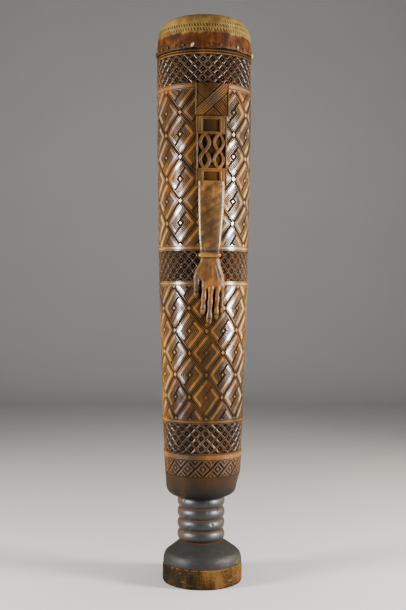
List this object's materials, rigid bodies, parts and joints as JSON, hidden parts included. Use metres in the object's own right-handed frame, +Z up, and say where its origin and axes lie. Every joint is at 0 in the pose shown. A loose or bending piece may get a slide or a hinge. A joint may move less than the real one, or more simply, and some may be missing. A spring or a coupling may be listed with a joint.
{
  "type": "ceremonial ritual drum",
  "caption": "Tall slender footed drum of carved dark wood with interlace fields, pitted bands, an arm and hand in relief, a ringed stem, a domed foot and a pegged rawhide head.",
  "frame": {"origin": "middle of the foot's flat underside, on the floor", "axes": "+Z up along the drum, -Y out of the side with the carved arm, +X to the right seen from that side"},
  "size_m": [0.2134, 0.2196, 1.2],
  "materials": {
    "carved_wood": "dark, hand-polished, with a worn foot",
    "rawhide": "dry and pale on top, red-brown and hairy at the collar",
    "peg_wood": "dry and pale"
  },
  "bodies": {
    "root": {"drum_body": "carved_wood", "hide_head": "rawhide", "hide_peg_01": "peg_wood", "hide_peg_02": "peg_wood", "hide_peg_03": "peg_wood", "hide_peg_04": "peg_wood", "hide_peg_06": "peg_wood", "hide_peg_07": "peg_wood", "hide_peg_09": "peg_wood", "hide_peg_10": "peg_wood", "hide_peg_11": "peg_wood", "hide_peg_13": "peg_wood", "hide_peg_14": "peg_wood", "hide_peg_15": "peg_wood", "hide_peg_16": "peg_wood", "hide_peg_17": "peg_wood", "hide_peg_18": "peg_wood", "hide_peg_19": "peg_wood", "hide_peg_20": "peg_wood", "hide_peg_21": "peg_wood", "hide_peg_22": "peg_wood", "hide_peg_23": "peg_wood", "hide_peg_24": "peg_wood", "hide_peg_25": "peg_wood", "hide_peg_26": "peg_wood", "hide_peg_27": "peg_wood", "hide_peg_28": "peg_wood", "hide_peg_29": "peg_wood", "hide_peg_30": "peg_wood", "hide_peg_31": "peg_wood", "hide_peg_32": "peg_wood"}
  },
  "joints": []
}
